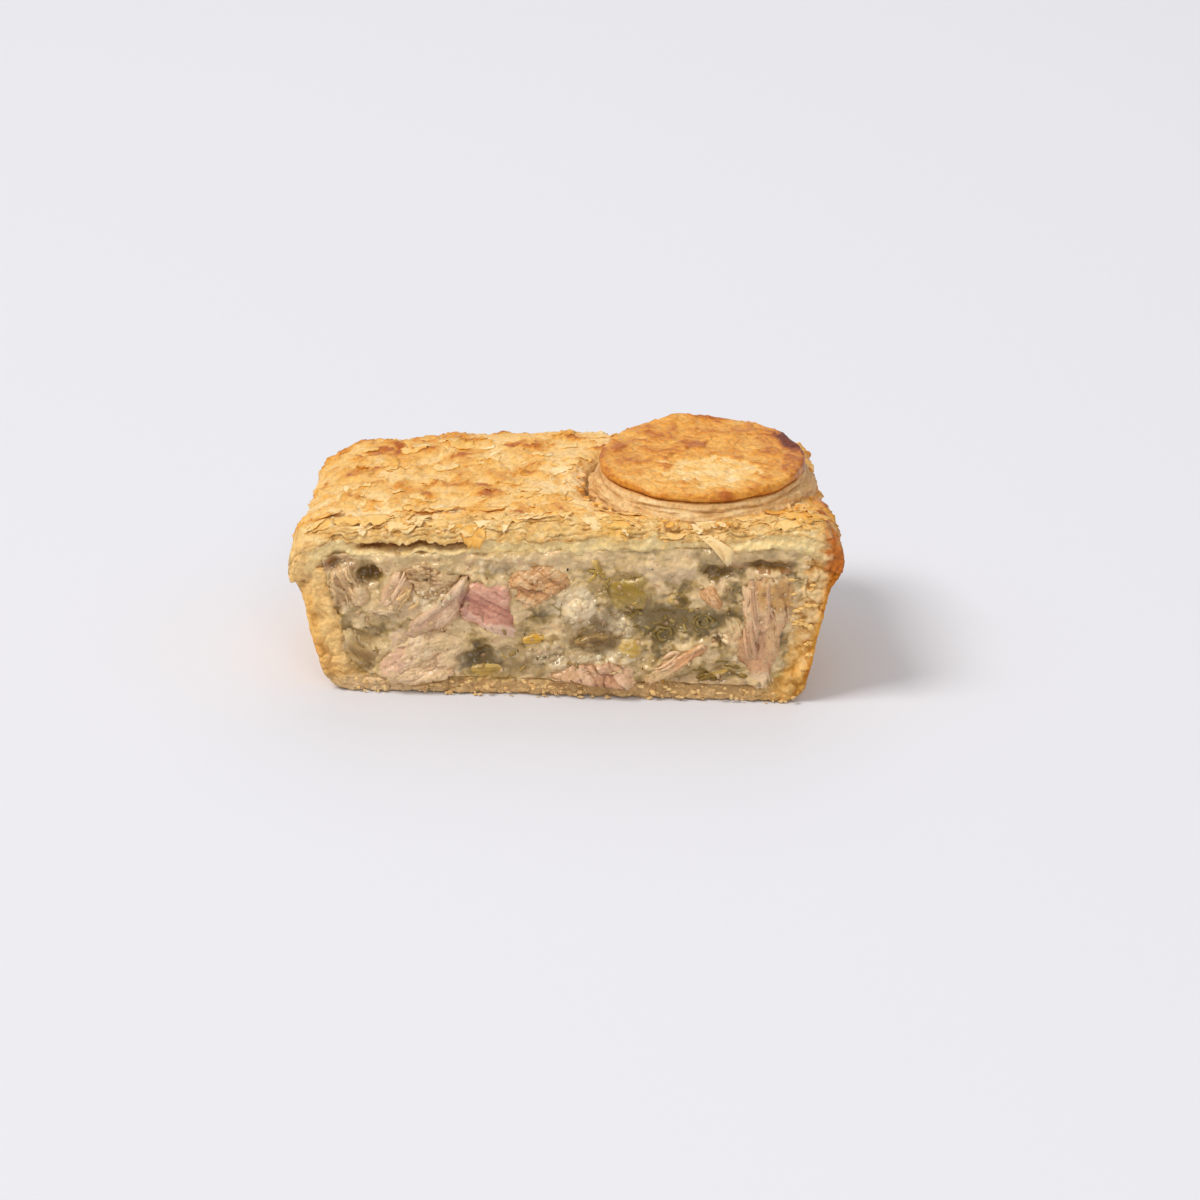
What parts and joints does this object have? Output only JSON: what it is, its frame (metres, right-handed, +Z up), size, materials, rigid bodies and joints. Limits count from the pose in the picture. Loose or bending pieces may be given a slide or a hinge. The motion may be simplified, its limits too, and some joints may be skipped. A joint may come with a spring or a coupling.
{
  "type": "chicken and leek pie half",
  "caption": "Half of an oblong savoury pie, cut open: tapered shortcrust case, flaky lid with a puff pastry round, creamy chicken and leek filling shown at the cut.",
  "frame": {"origin": "middle of the flat base that the pie rests on", "axes": "+X along the pie's width to the viewer's right, +Y from the cut face to the back, +Z up"},
  "size_m": [0.1255, 0.0708, 0.0505],
  "materials": {
    "shortcrust": "baked shortcrust pastry, dry and crumbly, golden with paler cut faces",
    "flaky_lid": "egg-glazed flaky pastry, golden with browned blisters and pale broken flakes",
    "puff_round": "egg-glazed puff pastry, browned on top with paler layered sides",
    "sauce": "thick cream sauce, moist and curdy",
    "chicken": "cooked chicken meat, fibrous and moist",
    "leek": "cooked leek, moist, yellow-green to olive"
  },
  "bodies": {
    "root": {"pastry_case": "shortcrust", "pastry_lid": "flaky_lid", "pastry_round": "puff_round", "creamy_filling": "sauce", "chicken_shred_left": "chicken", "chicken_strands": "chicken", "chicken_upper_left": "chicken", "chicken_fold": "chicken", "chicken_pink": "chicken", "chicken_brown": "chicken", "chicken_lower_left": "chicken", "chicken_bottom": "chicken", "chicken_strip": "chicken", "chicken_right": "chicken", "chicken_nub": "chicken", "leek_leaf_left": "leek", "leek_leaf_green": "leek", "leek_curl": "leek", "leek_shred_top": "leek", "leek_yellow": "leek", "leek_yellow_low": "leek", "leek_square": "leek", "leek_dark_strip": "leek", "leek_sliver": "leek", "leek_roll_upper": "leek", "leek_roll_lower": "leek"}
  },
  "joints": []
}
